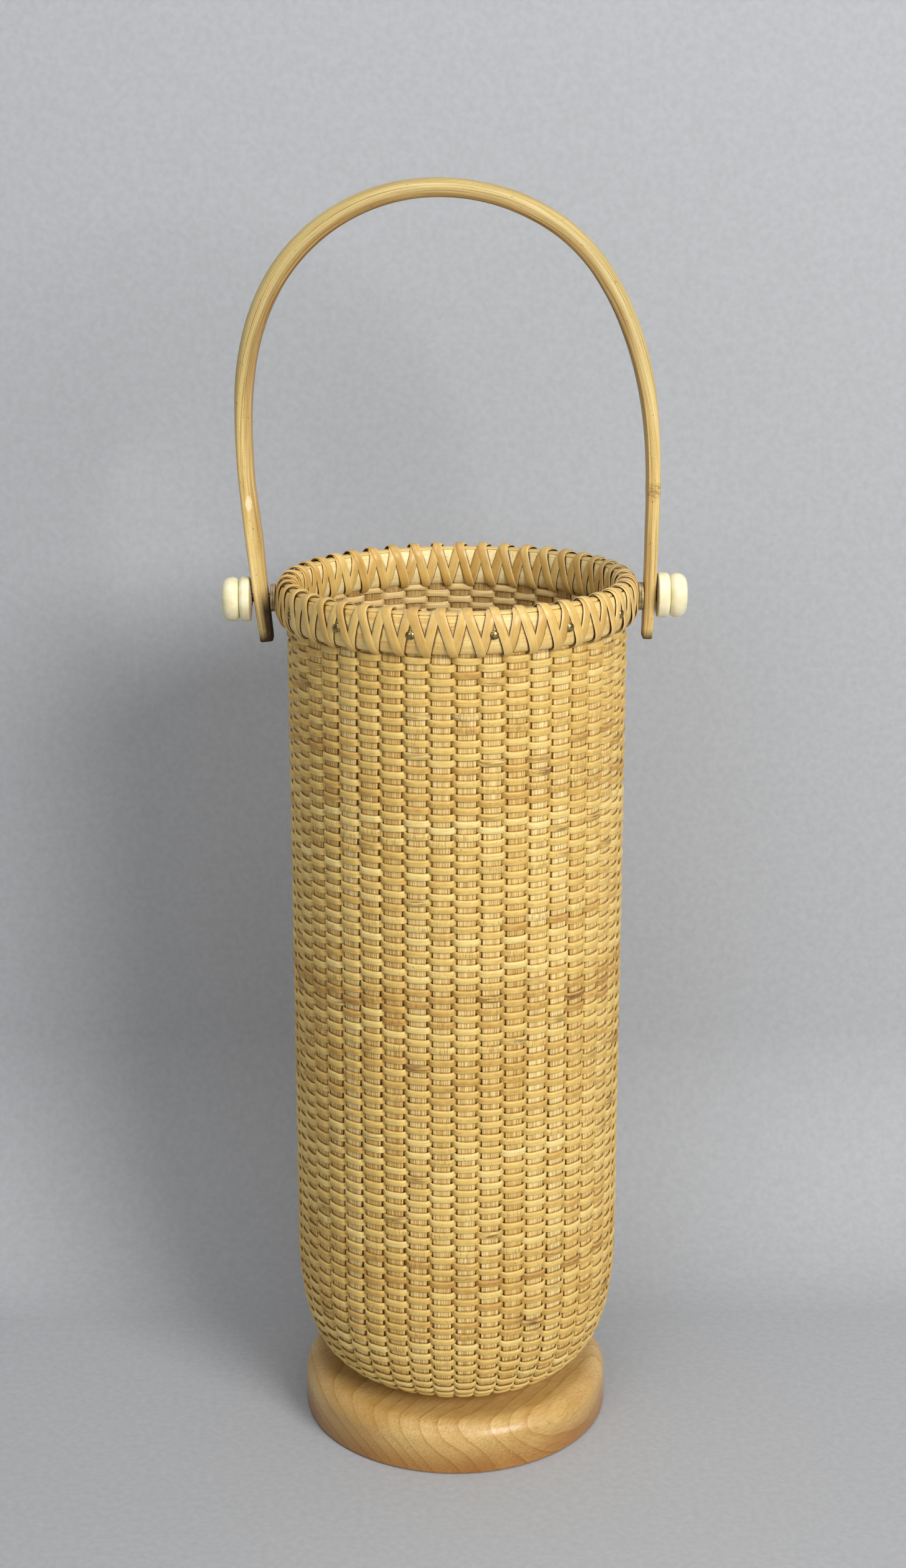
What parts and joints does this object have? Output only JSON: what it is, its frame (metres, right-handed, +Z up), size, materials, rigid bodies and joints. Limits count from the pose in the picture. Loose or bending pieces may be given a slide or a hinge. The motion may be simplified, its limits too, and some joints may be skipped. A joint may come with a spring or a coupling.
{
  "type": "nantucket basket",
  "caption": "Tall cylindrical basket of split staves and woven cane on a turned wooden foot, lashed rim, arched wooden handle that swings on pins between cream washers and knobs",
  "frame": {"origin": "middle of the foot's flat underside, on the surface the basket stands on", "axes": "+Z up along the basket's axis, +X along the handle's pivot line to the viewer's right in the picture, -Y towards the viewer"},
  "size_m": [0.1643, 0.1268, 0.458],
  "materials": {
    "maple": "warm brown maple, satin varnish",
    "cane": "aged golden-tan cane, satin",
    "stave_wood": "pale split cane with fine ridges, matte",
    "hoop_wood": "smooth yellow wood, satin",
    "handle_wood": "golden-tan bent wood with long grain, satin",
    "bone": "cream polished bone, satin",
    "brass": "polished brass",
    "washer_metal": "aged grey-brown metal"
  },
  "bodies": {
    "basket": {"foot_disc": "maple", "foot_screw": "brass", "base_plate": "maple", "woven_wall": "cane", "staves": "stave_wood", "rim_hoop_outer": "hoop_wood", "rim_hoop_inner": "hoop_wood", "rim_cap_cane": "cane", "rim_lashing": "cane", "pivot_pin_left": "brass", "pivot_pin_right": "brass", "spacer_washer_left": "washer_metal", "spacer_washer_right": "washer_metal", "bone_washer_left": "bone", "bone_washer_right": "bone", "bone_knob_left": "bone", "bone_knob_right": "bone", "rim_tack_01": "brass", "rim_tack_02": "brass", "rim_tack_03": "brass", "rim_tack_04": "brass", "rim_tack_05": "brass", "rim_tack_06": "brass", "rim_tack_07": "brass", "rim_tack_08": "brass", "rim_tack_09": "brass", "rim_tack_10": "brass", "rim_tack_11": "brass", "rim_tack_12": "brass"},
    "handle": {"bail_handle": "handle_wood"}
  },
  "joints": [
    {"name": "handle_swing", "type": "hinge", "parent": "basket", "child": "handle", "pos_m": [0, 0, 0.315], "axis": [1, 0, 0], "range_deg": [-150, 150]}
  ]
}
